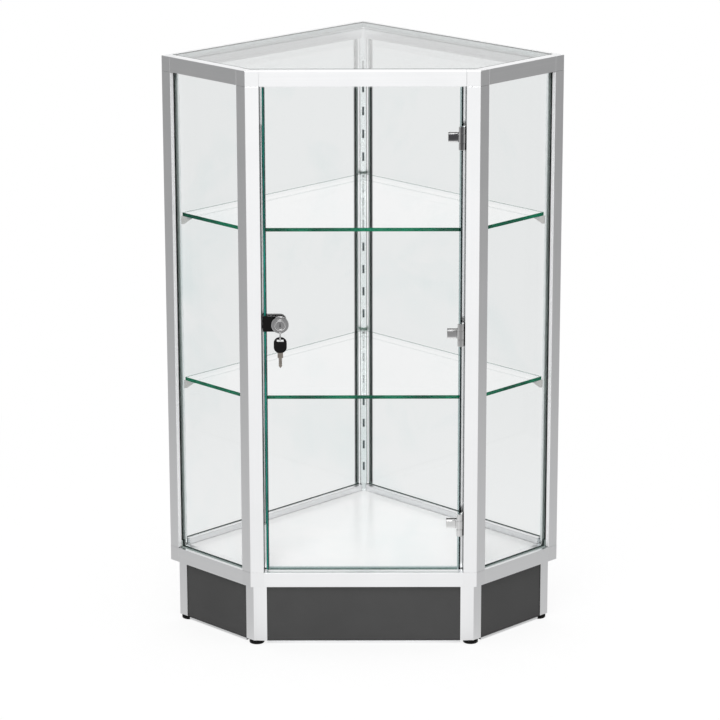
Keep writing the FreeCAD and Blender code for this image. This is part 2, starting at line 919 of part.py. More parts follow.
def cam_radius():
    """Distance of the cam pin from the plug's middle, from the throw and the turn."""
    return bolt_throw / (2 * math.sin(math.radians(cam_turn / 2)))


def case_outline():
    left = door_left - case_edge_wall
    right = lock_x + case_end_overrun
    half = case_height / 2
    body = box(
        (left, case_front(), lock_height - half),
        (right, glass_back_y + case_back_depth, lock_height + half),
    )
    ends = [
        e
        for e in body.Edges
        if e.BoundBox.XMin > right - case_end_overrun and e.BoundBox.YLength > case_front_plate
    ]
    return body.makeFillet(case_end_radius, ends)


def lock_case():
    half = case_height / 2 + cut_margin
    mouth = box(
        (door_left, glass_front_y, lock_height - half),
        (lock_x + 2 * case_end_radius, glass_back_y, lock_height + half),
    )
    barrel_hole = rod(
        barrel_radius + press_clearance,
        (lock_x, case_front() - cut_margin, lock_height),
        (0, 1, 0),
        bolt_y() - case_front() + cut_margin,
    )
    half_bolt = bolt_height / 2 + bolt_clearance
    bolt_back = bolt_y() + bolt_thickness + bolt_clearance
    channel = box(
        (door_left - 2 * case_edge_wall, bolt_y() - bolt_clearance, lock_height - half_bolt),
        (bolt_right() + bolt_clearance, bolt_back, lock_height + half_bolt),
    )
    cam_room = rod(
        cam_radius() + cam_pin_radius + bolt_clearance,
        (lock_x, bolt_y() - bolt_clearance, lock_height),
        (0, 1, 0),
        bolt_thickness + 2 * bolt_clearance,
    )
    return case_outline().cut([mouth, barrel_hole, channel, cam_room])


def lock_collar():
    """Round front collar and the barrel that passes through the glass."""
    front = front_y + collar_front
    end = bolt_y() - bolt_clearance
    collar = rod(collar_radius, (lock_x, front, lock_height), (0, 1, 0), collar_thickness)
    rim = [e for e in collar.Edges if len(e.Vertexes) == 1 and abs(e.BoundBox.YMin - front) < tiny]
    collar = collar.makeChamfer(collar_chamfer, rim)
    barrel = rod(barrel_radius, (lock_x, front, lock_height), (0, 1, 0), end - front)
    bore = rod(
        plug_radius + running_clearance,
        (lock_x, front - cut_margin, lock_height),
        (0, 1, 0),
        end - front + 2 * cut_margin,
    )
    ring_hole = rod(
        ring_hole_radius,
        (lock_x, front - cut_margin, ring_top()),
        (0, 1, 0),
        collar_thickness + 2 * cut_margin,
    )
    return collar.fuse(barrel).removeSplitter().cut([bore, ring_hole])


def cam_pin_place():
    angle = math.radians(cam_turn / 2)
    return lock_x + cam_radius() * math.sin(angle), lock_height + cam_radius() * math.cos(angle)


def lock_plug():
    """Turning core with its keyway and, behind, the pin that drives the bolt."""
    front = front_y + collar_front - plug_proud
    end = bolt_y() - bolt_clearance
    core = rod(plug_radius, (lock_x, front, lock_height), (0, 1, 0), end - front)
    x, z = cam_pin_place()
    pin = rod(cam_pin_radius, (x, end - cut_margin, z), (0, 1, 0), cut_margin + bolt_thickness)
    keyway = box(
        (lock_x - keyway_width / 2, front - cut_margin, lock_height - keyway_length / 2),
        (lock_x + keyway_width / 2, front + keyway_depth, lock_height + keyway_length / 2),
    )
    return core.fuse(pin).removeSplitter().cut(keyway)


def bolt_slot_half():
    return cam_pin_radius + bolt_slot_clearance


def bolt_right():
    return cam_pin_place()[0] + bolt_slot_half() + bolt_end_wall


def lock_bolt():
    """Sliding bolt with the upright slot that the cam pin works in."""
    left = door_left - case_edge_wall + bolt_clearance
    half = bolt_height / 2
    bar = box(
        (left, bolt_y(), lock_height - half),
        (bolt_right(), bolt_y() + bolt_thickness, lock_height + half),
    )
    x = cam_pin_place()[0]
    slot = box(
        (x - bolt_slot_half(), bolt_y() - cut_margin, lock_height),
        (x + bolt_slot_half(), bolt_y() + bolt_thickness + cut_margin, lock_height + bolt_height),
    )
    return bar.cut(slot)


# --- key and ring ---
def ring_top():
    """Height of the hole near the collar's lower rim."""
    return lock_height - collar_radius + ring_hole_edge + ring_hole_radius


def ring_y():
    return front_y + collar_front + collar_thickness / 2


def key_ring():
    """Split ring, seen edge-on, as two turns side by side."""
    centre = ring_top() - ring_radius
    turns = [
        Part.makeTorus(
            ring_radius,
            ring_wire_radius,
            FreeCAD.Vector(lock_x + offset, ring_y(), centre),
            FreeCAD.Vector(1, 0, 0),
        )
        for offset in (-ring_turn_offset, ring_turn_offset)
    ]
    return turns[0].fuse(turns[1])


def key_pivot():
    return ring_top() - 2 * ring_radius


def key_slot_top():
    return key_pivot() + ring_wire_radius + key_hang_gap


def key_head_top():
    return key_slot_top() + key_bar_height


def key_blade():
    """Nickel blade with its shoulder, teeth and the tang inside the head."""
    head_bottom = key_head_top() - key_head_height
    shoulder_end = head_bottom - key_shoulder_length
    tip = shoulder_end - key_blade_length
    half_shoulder = key_shoulder_width / 2
    half_blade = key_blade_width / 2
    right = [(half_shoulder, head_bottom + key_tang_length), (half_shoulder, shoulder_end)]
    z = shoulder_end
    while z - key_tooth_pitch > tip + half_blade:
        right += [(half_blade, z), (half_blade - key_tooth_depth, z - key_tooth_pitch / 2)]
        z -= key_tooth_pitch
    right += [(half_blade, z), (0, tip)]
    left = [(-x, height) for x, height in reversed(right[:-1])]
    y = ring_y() - key_blade_thickness / 2
    vectors = [FreeCAD.Vector(lock_x + x, y, height) for x, height in right + left]
    face = Part.Face(Part.makePolygon(vectors + vectors[:1]))
    return face.extrude(FreeCAD.Vector(0, key_blade_thickness, 0))


def key_head():
    """Moulded head with the slot that the ring passes through."""
    top = key_head_top()
    low = top - key_head_height
    y = ring_y() - key_head_thickness / 2
    half = key_head_width / 2
    body = box((lock_x - half, y, low), (lock_x + half, y + key_head_thickness, top))
    ends = [e for e in body.Edges if e.BoundBox.YLength > key_head_thickness / 2]
    body = body.makeFillet(half - cut_margin, ends)
    slot = box(
        (lock_x - key_slot_width / 2, y - cut_margin, key_slot_top() - key_slot_height),
        (lock_x + key_slot_width / 2, y + key_head_thickness + cut_margin, key_slot_top()),
    )
    return body.cut([slot, key_blade()])


# --- the nodes ---
def build():
    nodes = {}
    for corner in corners:
        nodes[f"{corner}_post"] = [post(corner)]
        nodes[f"leveller_{corner}"] = [leveller(corner)]
    for side in sides:
        nodes[f"top_rail_{side}"] = [rail(side, bottom=False)]
        nodes[f"bottom_rail_{side}"] = [rail(side, bottom=True)]
        nodes[f"kick_panel_{side}"] = [kick_panel(side)]
    for side in pane_setbacks:
        nodes[f"glass_{side}"] = [pane(side)]
    nodes["glazing_gaskets"] = [gasket(side) for side in pane_setbacks]
    nodes["glazing_beads"] = [bead(side) for side in bead_sides]
    nodes["top_corner_blocks"] = [corner_block(corner, bottom=False) for corner in corners]
    nodes["bottom_corner_blocks"] = [corner_block(corner, bottom=True) for corner in corners]
    nodes["top_glass"] = [top_glass()]
    nodes["top_glass_seal"] = [top_glass_seal()]
    nodes["deck"] = [deck()]
    nodes["shelf_standards"] = [standard(corner) for corner in corners]
    for level, name in enumerate(("lower", "upper")):
        nodes[f"{name}_brackets"] = [bracket(corner, level) for corner in corners]
        nodes[f"{name}_bracket_pads"] = [bracket_pad(corner, level) for corner in corners]
        nodes[f"{name}_shelf"] = [shelf(level)]
    nodes["kick_posts"] = [kick_post(corner) for corner in corners]
    nodes["kick_trims"] = [kick_trim(side) for side in sides]
    nodes["foot_plugs"] = [foot_plug(corner) for corner in corners]
    nodes["hinge_leaves"] = [hinge_leaf(height) for height in hinge_heights]
    nodes["hinge_pins"] = [hinge_pin(height) for height in hinge_heights]
    screw_places = [place for height in hinge_heights for place in hinge_screw_places(height)]
    screws = [hinge_screw(*place) for place in screw_places]
    nodes["post_screws"] = screws + [stop_screw(*place) for place in stop_screw_places()]
    nodes["door_glass"] = [door_glass()]
    nodes["hinge_clips"] = [hinge_clip(height) for height in hinge_heights]
    nodes["clip_screws"] = [clip_screw(height) for height in hinge_heights]
    nodes["clip_pads"] = [clip_pad(h, behind) for h in hinge_heights for behind in (False, True)]
    nodes["lock_case"] = [lock_case()]
    nodes["lock_collar"] = [lock_collar()]
    nodes["lock_plug"] = [lock_plug()]
    nodes["lock_bolt"] = [lock_bolt()]
    nodes["key_ring"] = [key_ring()]
    nodes["key_head"] = [key_head()]
    nodes["key_blade"] = [key_blade()]
    return nodes


os.makedirs("parts", exist_ok=True)
for name, solids in build().items():
    shape = solids[0] if len(solids) == 1 else Part.makeCompound(solids)
    shape.exportStep(f"parts/{name}.step")
    print(f"{name}: {len(shape.Solids)} solids, {shape.Volume / 1000:.2f} cm3, valid {shape.isValid()}")
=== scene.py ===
import bpy
import bmesh
import math
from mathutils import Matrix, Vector


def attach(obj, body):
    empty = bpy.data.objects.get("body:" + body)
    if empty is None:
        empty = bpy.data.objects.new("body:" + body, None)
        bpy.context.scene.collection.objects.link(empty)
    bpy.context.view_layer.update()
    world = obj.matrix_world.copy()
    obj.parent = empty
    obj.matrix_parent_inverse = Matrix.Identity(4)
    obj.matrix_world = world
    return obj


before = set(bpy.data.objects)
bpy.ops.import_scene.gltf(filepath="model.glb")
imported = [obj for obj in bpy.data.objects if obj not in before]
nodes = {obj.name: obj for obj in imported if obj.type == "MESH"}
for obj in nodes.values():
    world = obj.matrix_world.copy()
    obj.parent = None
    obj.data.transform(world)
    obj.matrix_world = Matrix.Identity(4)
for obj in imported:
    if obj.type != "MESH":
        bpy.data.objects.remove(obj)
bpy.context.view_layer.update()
scene = bpy.context.scene
mm = 0.001
white = (1.0, 1.0, 1.0, 1.0)
print("frame loaded:", len(nodes), "nodes")


# long lens, a little above the top of the cabinet and tilted down
cameraSettings = {
    "place": (0.0075, -5.1595, 1.895),
    "tiltDown": 0.277,
    "turn": 0.002,
    "roll": 0.002,
    "lens": 158.98,
    "sensorWidth": 36.0,
    "clipEnd": 100.0,
}


def makeCamera():
    data = bpy.data.cameras.new("camera")
    data.lens = cameraSettings["lens"]
    data.sensor_width = cameraSettings["sensorWidth"]
    data.clip_end = cameraSettings["clipEnd"]
    camera = bpy.data.objects.new("camera", data)
    camera.location = cameraSettings["place"]
    camera.rotation_euler = (
        math.pi / 2 - cameraSettings["tiltDown"],
        cameraSettings["roll"],
        cameraSettings["turn"],
    )
    scene.collection.objects.link(camera)
    scene.camera = camera


makeCamera()
scene.view_settings.view_transform = "Standard"
print("camera placed")


# colours are written as sRGB hex
def linear(hexColour):
    channels = [int(hexColour[i:i + 2], 16) / 255 for i in (1, 3, 5)]
    straight = [c / 12.92 if c <= 0.04045 else ((c + 0.055) / 1.055) ** 2.4 for c in channels]
    return straight + [1.0]


# an input takes a value, a socket, or a node, whose first live output is linked
def addNode(tree, kind, inputs=None, **settings):
    node = tree.nodes.new("ShaderNode" + kind)
    for name, value in settings.items():
        setattr(node, name, value)
    for name, value in (inputs or {}).items():
        if isinstance(value, bpy.types.Node):
            value = next(socket for socket in value.outputs if socket.enabled)
        if isinstance(value, bpy.types.NodeSocket):
            tree.links.new(value, node.inputs[name])
        else:
            node.inputs[name].default_value = value
    return node


def newMaterial(name):
    material = bpy.data.materials.new(name)
    material.use_nodes = True
    tree = material.node_tree
    tree.nodes.clear()
    return material, tree


def dress(material, *names):
    for name in names:
        slots = nodes[name].data.materials
        slots.clear()
        slots.append(material)
        for polygon in nodes[name].data.polygons:
            polygon.material_index = 0


def named(*starts):
    return [name for name in nodes if name.startswith(starts)]


# least and greatest of a node's own x, y or z
def reach(name, axis):
    values = [v.co["xyz".index(axis)] for v in nodes[name].data.vertices]
    return min(values), max(values)


# sawn and cast edges are a little blunt, so joints between pieces show as fine lines
edgeBreaks = {
    "metal": 0.45,        # mm
    "castings": 0.6,
    "hinges": 1.2,
    "boards": 0.4,
    "case": 0.8,
    "weld": 0.01,
    "segments": 2,
    "leastAngle": 35,     # degrees, flatter edges stay as they are
}


def breakEdges(width, *names):
    for name in names:
        weld = nodes[name].modifiers.new("weld", "WELD")
        weld.merge_threshold = edgeBreaks["weld"] * mm
        bevel = nodes[name].modifiers.new("edge break", "BEVEL")
        bevel.width = width * mm
        bevel.segments = edgeBreaks["segments"]
        bevel.limit_method = "ANGLE"
        bevel.angle_limit = math.radians(edgeBreaks["leastAngle"])
        bevel.use_clamp_overlap = True
        flats = nodes[name].modifiers.new("flat faces", "WEIGHTED_NORMAL")
        flats.keep_sharp = True


# satin silver anodised extrusion: soft wide reflections, faint drawing lines along its length
aluminium = {
    "light": "#F8F8F9",
    "dark": "#F1F2F3",
    "toneRange": (0.05, 0.45),
    "cloud": 90.9,               # mm, lighter and duller patches
    "lineWidth": 1.6,            # mm, real die lines are about 0.1 mm and drawn coarser to show
    "lineLength": 420.0,
    "lineDepth": 0.012,
    "lineStrength": 0.35,
    "roughness": (0.28, 0.36),
    "recess": 3.0,               # mm, seams this narrow turn dark
    "recessShade": "#1A1E1E",
    "recessRange": (0.55, 0.92),
    "flankMetal": 0.25,          # painted light: flanks that catch the white of the deck mirror less
    "flankInward": -0.1,         # how far a flank is turned to the middle, and to the front
    "flankForward": -0.5,
    "slotWidth": 3.8,            # mm, what shows through the back standard's slots is in shade
    "slotForward": -0.9,
    "slotShade": "#566062",
}


def flankShare(tree, coords):
    # the flanks that face each other across a side window, which get painted light
    x = addNode(tree, "SeparateXYZ", {"Vector": coords.outputs["Object"]}).outputs["X"]
    normal = addNode(tree, "SeparateXYZ", {"Vector": coords.outputs["Normal"]}).outputs
    facing = addNode(tree, "Math", {0: x, 1: normal["X"]}, operation="MULTIPLY")
    inward = addNode(tree, "Math", {0: facing, 1: aluminium["flankInward"]}, operation="LESS_THAN")
    forward = addNode(tree, "Math", {
        0: normal["Y"], 1: aluminium["flankForward"],
    }, operation="LESS_THAN")
    return addNode(tree, "Math", {0: inward, 1: forward}, operation="MULTIPLY")


def slotShare(tree, coords):
    x = addNode(tree, "SeparateXYZ", {"Vector": coords.outputs["Object"]}).outputs["X"]
    normal = addNode(tree, "SeparateXYZ", {"Vector": coords.outputs["Normal"]}).outputs
    aside = addNode(tree, "Math", {0: x}, operation="ABSOLUTE")
    narrow = addNode(tree, "Math", {
        0: aside, 1: aluminium["slotWidth"] / 2 * mm,
    }, operation="LESS_THAN")
    forward = addNode(tree, "Math", {
        0: normal["Y"], 1: aluminium["slotForward"],
    }, operation="LESS_THAN")
    return addNode(tree, "Math", {0: narrow, 1: forward}, operation="MULTIPLY")


def makeAluminium(name, upright):
    material, tree = newMaterial(name)
    coords = addNode(tree, "TexCoord")
    place = coords.outputs["Object"]
    fine = 1000 / aluminium["lineWidth"]
    coarse = 1000 / aluminium["lineLength"]
    scale = (fine, fine, coarse) if upright else (coarse, coarse, fine)
    lines = addNode(tree, "TexNoise", {
        "Vector": addNode(tree, "Mapping", {"Vector": place, "Scale": scale}),
        "Scale": 1.0, "Detail": 2.0, "Roughness": 0.6,
    })
    clouds = addNode(tree, "TexNoise", {
        "Vector": place, "Scale": 1000 / aluminium["cloud"], "Detail": 4.0, "Roughness": 0.55,
    })
    start, end = aluminium["toneRange"]
    tone = addNode(tree, "MapRange", {
        "Value": addNode(tree, "Math", {0: lines, 1: clouds}, operation="MULTIPLY"),
        "From Min": start, "From Max": end,
    })
    colour = addNode(tree, "Mix", {
        0: tone, 6: linear(aluminium["dark"]), 7: linear(aluminium["light"]),
    }, data_type="RGBA")
    metallic = 1.0
    if upright:
        openness = addNode(tree, "AmbientOcclusion", {
            "Distance": aluminium["recess"] * mm,
        }, samples=16).outputs["AO"]
        start, end = aluminium["recessRange"]
        shade = addNode(tree, "MapRange", {"Value": openness, "From Min": start, "From Max": end})
        colour = addNode(tree, "Mix", {
            0: shade, 6: linear(aluminium["recessShade"]), 7: colour,
        }, data_type="RGBA")
        colour = addNode(tree, "Mix", {
            0: slotShare(tree, coords), 6: colour, 7: linear(aluminium["slotShade"]),
        }, data_type="RGBA")
        # painted light: flanks facing across a window mirror less and show the deck's white
        metallic = addNode(tree, "Math", {
            0: flankShare(tree, coords), 1: aluminium["flankMetal"] - 1.0, 2: 1.0,
        }, operation="MULTIPLY_ADD")
    low, high = aluminium["roughness"]
    rough = addNode(tree, "MapRange", {
        "Value": clouds, "From Min": 0.3, "From Max": 0.7, "To Min": low, "To Max": high,
    })
    # the true normal keeps long flats flat beside their broken edges
    bump = addNode(tree, "Bump", {
        "Height": lines, "Strength": aluminium["lineStrength"],
        "Distance": aluminium["lineDepth"] * mm,
        "Normal": addNode(tree, "NewGeometry").outputs["True Normal"],
    })
    shader = addNode(tree, "BsdfPrincipled", {
        "Base Color": colour, "Metallic": metallic, "Roughness": rough, "Normal": bump,
    })
    addNode(tree, "OutputMaterial", {"Surface": shader})
    return material


posts = [name for name in nodes if name.endswith("_post")]
rails = named("top_rail", "bottom_rail")
uprightAluminium = makeAluminium("anodised aluminium, upright", True)
levelAluminium = makeAluminium("anodised aluminium, level", False)
dress(uprightAluminium, *posts, "kick_posts")
dress(levelAluminium, *rails, "kick_trims", "glazing_beads")
breakEdges(edgeBreaks["metal"], *posts, *rails, "kick_posts", "kick_trims", "glazing_beads")


# die-cast corner pieces, silver like the extrusions, with a fine grain in place of the lines
casting = {
    "light": "#F6F6F7",
    "dark": "#EFF0F1",
    "cloud": 41.7,               # mm
    "grain": 0.8,                # mm, a real blasted skin is finer and drawn coarser to show
    "grainDepth": 0.01,
    "grainStrength": 0.4,
    "roughness": (0.3, 0.38),
}


def makeCasting():
    material, tree = newMaterial("silver die-cast aluminium")
    place = addNode(tree, "TexCoord").outputs["Object"]
    grain = addNode(tree, "TexNoise", {
        "Vector": place, "Scale": 1000 / casting["grain"], "Detail": 2.0, "Roughness": 0.7,
    })
    clouds = addNode(tree, "TexNoise", {
        "Vector": place, "Scale": 1000 / casting["cloud"], "Detail": 3.0,
    })
    colour = addNode(tree, "Mix", {
        0: clouds, 6: linear(casting["dark"]), 7: linear(casting["light"]),
    }, data_type="RGBA")
    low, high = casting["roughness"]
    rough = addNode(tree, "MapRange", {
        "Value": grain, "From Min": 0.3, "From Max": 0.7, "To Min": low, "To Max": high,
    })
    bump = addNode(tree, "Bump", {
        "Height": grain, "Strength": casting["grainStrength"],
        "Distance": casting["grainDepth"] * mm,
    })
    shader = addNode(tree, "BsdfPrincipled", {
        "Base Color": colour, "Metallic": 1.0, "Roughness": rough, "Normal": bump,
    })
    addNode(tree, "OutputMaterial", {"Surface": shader})
    return material


dress(makeCasting(), "top_corner_blocks", "bottom_corner_blocks")
breakEdges(edgeBreaks["castings"], "top_corner_blocks", "bottom_corner_blocks")
print("frame metal done")


# toughened float glass: nearly clear through the sheet, deep green where an edge is seen
glass = {
    "clear": "#FFFFFF",
    "smeared": "#FBFDFD",
    "thick": "#F1F2F2",           # the level top, seen at a low angle
    "frontLine": 2.0,             # mm, darker along the front of the top
    "edgeDark": "#004A36",        # ground shelf edges
    "edgeLight": "#007452",
    "polishedDark": "#1E564E",    # polished door edge
    "polishedLight": "#1C8273",
    "edgePatch": 60.0,            # mm, lighter and darker stretches of an edge
    "edgeBeside": "#A6ADAC",      # grey band inside a polished edge
    "edgeShade": "#7F888A",       # and the darker one on the hinge side
    "edgeSoft": "#D3DCDC",
    "edgeFaint": "#A3B3AF",       # far edges, seen through their own sheet
    "edgeLean": 0.6,              # faces steeper than this are edges
    "faintAbove": 0.75,           # share of a shelf's thickness below the fine line
    "edgeRoughness": 0.45,
    "edgeShine": 0.05,
    "ior": 1.5,
    "shine": 0.04,                # mirror share seen head-on
    "uprightShine": 0.012,        # painted shade: upright sheets mirror less, standing in for the dark end of a room
    "shineCurve": 5.0,
    "smear": 180.0,               # mm, size of the faint wiping smears
    "smearTwist": 0.4,
    "roughness": (0.0, 0.03),
    "seatGap": 0.06,              # mm, so that no sheet face lies in the face of its seat
}
# mm, bands seen along the door's edges
doorEdges = {
    "green": 2.6,
    "grey": 4.4,
    "shade": 2.4,
    "soft": 5.2,
    "bottom": 1.8,
    "bottomSoft": 4.6,
}


def sheetShader(tree, place, tint, shine):
    facing = addNode(tree, "LayerWeight", {"Blend": 0.5}).outputs["Facing"]
    curve = addNode(tree, "Math", {0: facing, 1: glass["shineCurve"]}, operation="POWER")
    share = addNode(tree, "Math", {0: curve, 1: 1 - shine, 2: shine}, operation="MULTIPLY_ADD")
    smears = addNode(tree, "TexNoise", {
        "Vector": place, "Scale": 1000 / glass["smear"],
        "Detail": 5.0, "Roughness": 0.6, "Distortion": glass["smearTwist"],
    })
    low, high = glass["roughness"]
    rough = addNode(tree, "MapRange", {
        "Value": smears, "From Min": 0.5, "From Max": 0.8, "To Min": low, "To Max": high,
    })
    film = addNode(tree, "MapRange", {"Value": smears, "From Min": 0.55, "From Max": 0.75})
    wiped = addNode(tree, "Mix", {
        0: film, 6: linear(tint), 7: linear(glass["smeared"]),
    }, data_type="RGBA", blend_type="MULTIPLY")
    through = addNode(tree, "BsdfTransparent", {"Color": wiped})
    mirror = addNode(tree, "BsdfPrincipled", {
        "Base Color": white, "Metallic": 1.0, "Roughness": rough,
    })
    return addNode(tree, "MixShader", {0: share, 1: through, 2: mirror})


def greenEdge(tree, place, dark, light):
    patches = addNode(tree, "TexNoise", {
        "Vector": place, "Scale": 1000 / glass["edgePatch"], "Detail": 2.0,
    })
    tone = addNode(tree, "MapRange", {"Value": patches, "From Min": 0.35, "From Max": 0.65})
    green = addNode(tree, "Mix", {0: tone, 6: linear(dark), 7: linear(light)}, data_type="RGBA")
    return addNode(tree, "BsdfPrincipled", {
        "Base Color": green, "Roughness": glass["edgeRoughness"],
        "IOR": glass["ior"], "Specular IOR Level": glass["edgeShine"],
    })


def makePane():
    material, tree = newMaterial("toughened glass pane")
    place = addNode(tree, "TexCoord").outputs["Object"]
    sheet = sheetShader(tree, place, glass["clear"], glass["uprightShine"])
    addNode(tree, "OutputMaterial", {"Surface": sheet})
    return material


def makeTopGlass():
    material, tree = newMaterial("toughened glass top")
    place = addNode(tree, "TexCoord").outputs["Object"]
    y = addNode(tree, "SeparateXYZ", {"Vector": place}).outputs["Y"]
    lineEnd = reach("top_glass", "y")[0] + glass["frontLine"] * mm
    inLine = addNode(tree, "Math", {0: y, 1: lineEnd}, operation="LESS_THAN")
    sheet = sheetShader(tree, place, glass["thick"], glass["shine"])
    line = addNode(tree, "BsdfTransparent", {"Color": linear(glass["edgeShade"])})
    whole = addNode(tree, "MixShader", {0: inLine, 1: sheet, 2: line})
    addNode(tree, "OutputMaterial", {"Surface": whole})
    return material


def makeShelfGlass():
    # an edge that faces the eye is green, and one seen through the sheet is a fine grey line
    material, tree = newMaterial("toughened glass shelf, ground edges")
    coords = addNode(tree, "TexCoord")
    place = coords.outputs["Object"]
    lean = addNode(tree, "SeparateXYZ", {"Vector": coords.outputs["Normal"]}).outputs["Z"]
    level = addNode(tree, "SeparateXYZ", {"Vector": coords.outputs["Generated"]}).outputs["Z"]
    behind = addNode(tree, "NewGeometry").outputs["Backfacing"]
    sheet = sheetShader(tree, place, glass["clear"], glass["shine"])
    farEdge = addNode(tree, "MixShader", {
        0: addNode(tree, "Math", {0: level, 1: glass["faintAbove"]}, operation="LESS_THAN"),
        1: addNode(tree, "BsdfTransparent", {"Color": linear(glass["edgeFaint"])}),
        2: addNode(tree, "BsdfTransparent", {"Color": linear(glass["clear"])}),
    })
    nearEdge = greenEdge(tree, place, glass["edgeDark"], glass["edgeLight"])
    edge = addNode(tree, "MixShader", {0: behind, 1: nearEdge, 2: farEdge})
    steep = addNode(tree, "Math", {0: lean}, operation="ABSOLUTE")
    onEdge = addNode(tree, "Math", {0: steep, 1: glass["edgeLean"]}, operation="LESS_THAN")
    whole = addNode(tree, "MixShader", {0: onEdge, 1: sheet, 2: edge})
    addNode(tree, "OutputMaterial", {"Surface": whole})
    return material


def makeDoorGlass():
    # the polished edge on the lock side glows green, with a grey band beside it in the sheet
    material, tree = newMaterial("toughened glass door, polished edges")
    place = addNode(tree, "TexCoord").outputs["Object"]
    split = addNode(tree, "SeparateXYZ", {"Vector": place}).outputs
    left, right = reach("door_glass", "x")
    bottom = reach("door_glass", "z")[0]
    bands = (
        ("Z", "LESS_THAN", bottom + doorEdges["bottomSoft"] * mm, "edgeSoft"),
        ("Z", "LESS_THAN", bottom + doorEdges["bottom"] * mm, "edgeFaint"),
        ("X", "GREATER_THAN", right - doorEdges["soft"] * mm, "edgeSoft"),
        ("X", "GREATER_THAN", right - doorEdges["shade"] * mm, "edgeShade"),
        ("X", "LESS_THAN", left + doorEdges["grey"] * mm, "edgeBeside"),
        ("X", "LESS_THAN", left + doorEdges["green"] * mm, None),
    )
    whole = sheetShader(tree, place, glass["clear"], glass["uprightShine"])
    green = greenEdge(tree, place, glass["polishedDark"], glass["polishedLight"])
    for axis, side, limit, tone in bands:
        inBand = addNode(tree, "Math", {0: split[axis], 1: limit}, operation=side)
        band = green
        if tone:
            band = addNode(tree, "BsdfTransparent", {"Color": linear(glass[tone])})
        whole = addNode(tree, "MixShader", {0: inBand, 1: whole, 2: band})
    addNode(tree, "OutputMaterial", {"Surface": whole})
    return material


panes = named("glass_")
dress(makePane(), *panes)
dress(makeTopGlass(), "top_glass")
dress(makeShelfGlass(), "lower_shelf", "upper_shelf")
dress(makeDoorGlass(), "door_glass")
for name in panes + ["top_glass", "lower_shelf", "upper_shelf"]:
    thinner = nodes[name].modifiers.new("seat gap", "DISPLACE")
    thinner.mid_level = 0.0
    thinner.strength = -glass["seatGap"] * mm
print("glass done")


# soft and moulded black parts: a dull, faintly grained skin with a little dust on it
rubber = {
    "grain": 0.5,            # mm, a real skin is finer and drawn coarser to show
    "grainDepth": 0.02,
    "grainStrength": 0.5,
    "dustPatch": 60.0,       # mm
    "dustRange": (0.35, 0.75),
    "gloss": 0.12,
    "ior": 1.5,
    "unevenness": 0.08,
}
softParts = {
    # extruded and cut to length: dull, and greyest where dust lies
    "black PVC pad": {"dark": "#0B0D0D", "light": "#1C2020", "roughness": 0.5},
    # dipped: pale grey with a soft shine
    "clear vinyl pad": {"dark": "#A3A8A8", "light": "#C4C9C9", "roughness": 0.3},
    # injection moulded: deep black with a low shine
    "black nylon foot": {"dark": "#050505", "light": "#101010", "roughness": 0.35},
    # sprayed and baked on a cast case: black with the clearest highlights
    "black enamel": {"dark": "#050505", "light": "#0C0C0C", "roughness": 0.25},
    # ABS key head from a polished mould: black, worn a little dull
    "moulded black plastic": {"dark": "#060606", "light": "#121212", "roughness": 0.35},
}


def makeRubber(name):
    part = softParts[name]
    material, tree = newMaterial(name)
    place = addNode(tree, "TexCoord").outputs["Object"]
    grain = addNode(tree, "TexNoise", {
        "Vector": place, "Scale": 1000 / rubber["grain"], "Detail": 2.0,
    })
    dust = addNode(tree, "TexNoise", {
        "Vector": place, "Scale": 1000 / rubber["dustPatch"], "Detail": 5.0,
    })
    start, end = rubber["dustRange"]
    tone = addNode(tree, "MapRange", {"Value": dust, "From Min": start, "From Max": end})
    colour = addNode(tree, "Mix", {
        0: tone, 6: linear(part["dark"]), 7: linear(part["light"]),
    }, data_type="RGBA")
    rough = addNode(tree, "MapRange", {
        "Value": grain,
        "To Min": part["roughness"] - rubber["unevenness"],
        "To Max": part["roughness"] + rubber["unevenness"],
    })
    bump = addNode(tree, "Bump", {
        "Height": grain, "Strength": rubber["grainStrength"],
        "Distance": rubber["grainDepth"] * mm,
    })
    shader = addNode(tree, "BsdfPrincipled", {
        "Base Color": colour, "Roughness": rough, "IOR": rubber["ior"],
        "Specular IOR Level": rubber["gloss"], "Normal": bump,
    })
    addNode(tree, "OutputMaterial", {"Surface": shader})
    return material


dress(makeRubber("black PVC pad"), "clip_pads")
dress(makeRubber("clear vinyl pad"), "lower_bracket_pads", "upper_bracket_pads")
dress(makeRubber("black nylon foot"), "foot_plugs", *named("leveller_"))


# co-extruded PVC seal, dull: a dark lip level with the glass, a pale body against the frame
seal = {
    "lip": "#2C3936",
    "body": "#EEF1F1",
    "bodyDark": "#E2E7E6",
    "lipHeight": 1.5,        # mm
    "roughness": (0.4, 0.55),
}


def makeSeal():
    material, tree = newMaterial("PVC seal, dark lip on a pale body")
    place = addNode(tree, "TexCoord").outputs["Object"]
    z = addNode(tree, "SeparateXYZ", {"Vector": place}).outputs["Z"]
    lipStart = reach("top_glass_seal", "z")[1] - seal["lipHeight"] * mm
    below = addNode(tree, "Math", {0: z, 1: lipStart}, operation="LESS_THAN")
    grain = addNode(tree, "TexNoise", {
        "Vector": place, "Scale": 1000 / rubber["grain"], "Detail": 2.0,
    })
    body = addNode(tree, "Mix", {
        0: grain, 6: linear(seal["bodyDark"]), 7: linear(seal["body"]),
    }, data_type="RGBA")
    colour = addNode(tree, "Mix", {0: below, 6: linear(seal["lip"]), 7: body}, data_type="RGBA")
    low, high = seal["roughness"]
    rough = addNode(tree, "MapRange", {"Value": grain, "To Min": low, "To Max": high})
    shader = addNode(tree, "BsdfPrincipled", {
        "Base Color": colour, "Roughness": rough, "Specular IOR Level": rubber["gloss"],
    })
    addNode(tree, "OutputMaterial", {"Surface": shader})
    return material


dress(makeSeal(), "top_glass_seal")
